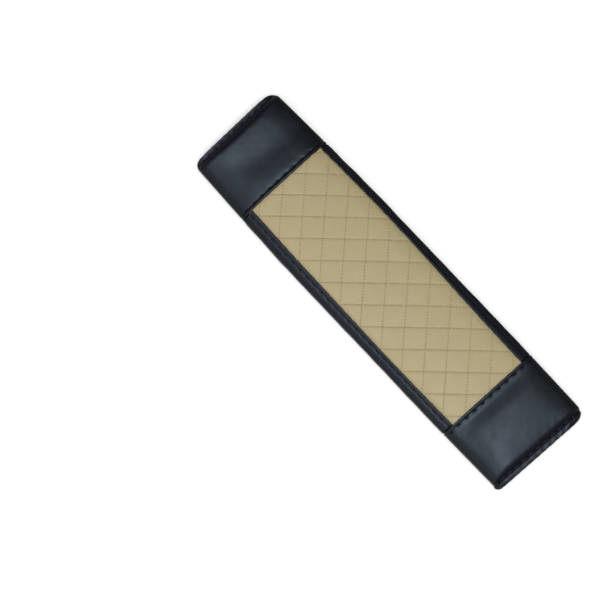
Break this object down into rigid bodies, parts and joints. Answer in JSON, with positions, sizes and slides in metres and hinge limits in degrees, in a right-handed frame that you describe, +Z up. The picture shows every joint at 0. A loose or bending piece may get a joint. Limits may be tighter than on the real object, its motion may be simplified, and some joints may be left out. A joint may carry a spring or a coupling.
{
  "type": "seat belt shoulder pad",
  "caption": "Padded sleeve that closes round a seat belt with hook and loop tape: diamond-quilted beige insert framed by black leather-look panels.",
  "frame": {"origin": "centre of the pad's outline, on the surface it lies on, under the closed flaps", "axes": "+Z up out of the quilted front, +Y along the pad towards its slightly narrower end, +X across it towards the under flap's side"},
  "size_m": [0.0652, 0.2496, 0.0218],
  "materials": {
    "black_leather": "smooth synthetic leather with a soft sheen and a fine grain",
    "beige_leather": "matt synthetic leather, quilted in diamonds",
    "foam": "open-cell foam sheet",
    "lining_cloth": "brushed knit lining",
    "hook_tape": "hook tape, moulded hooks on a woven band",
    "loop_tape": "loop tape, fuzzy pile"
  },
  "bodies": {
    "root": {"quilted_insert": "beige_leather", "upper_end_panel": "black_leather", "lower_end_panel": "black_leather", "left_side_panel": "black_leather", "right_side_panel": "black_leather", "foam_core": "foam", "lining": "lining_cloth", "hook_strip": "hook_tape", "loop_strip": "loop_tape"}
  },
  "joints": []
}
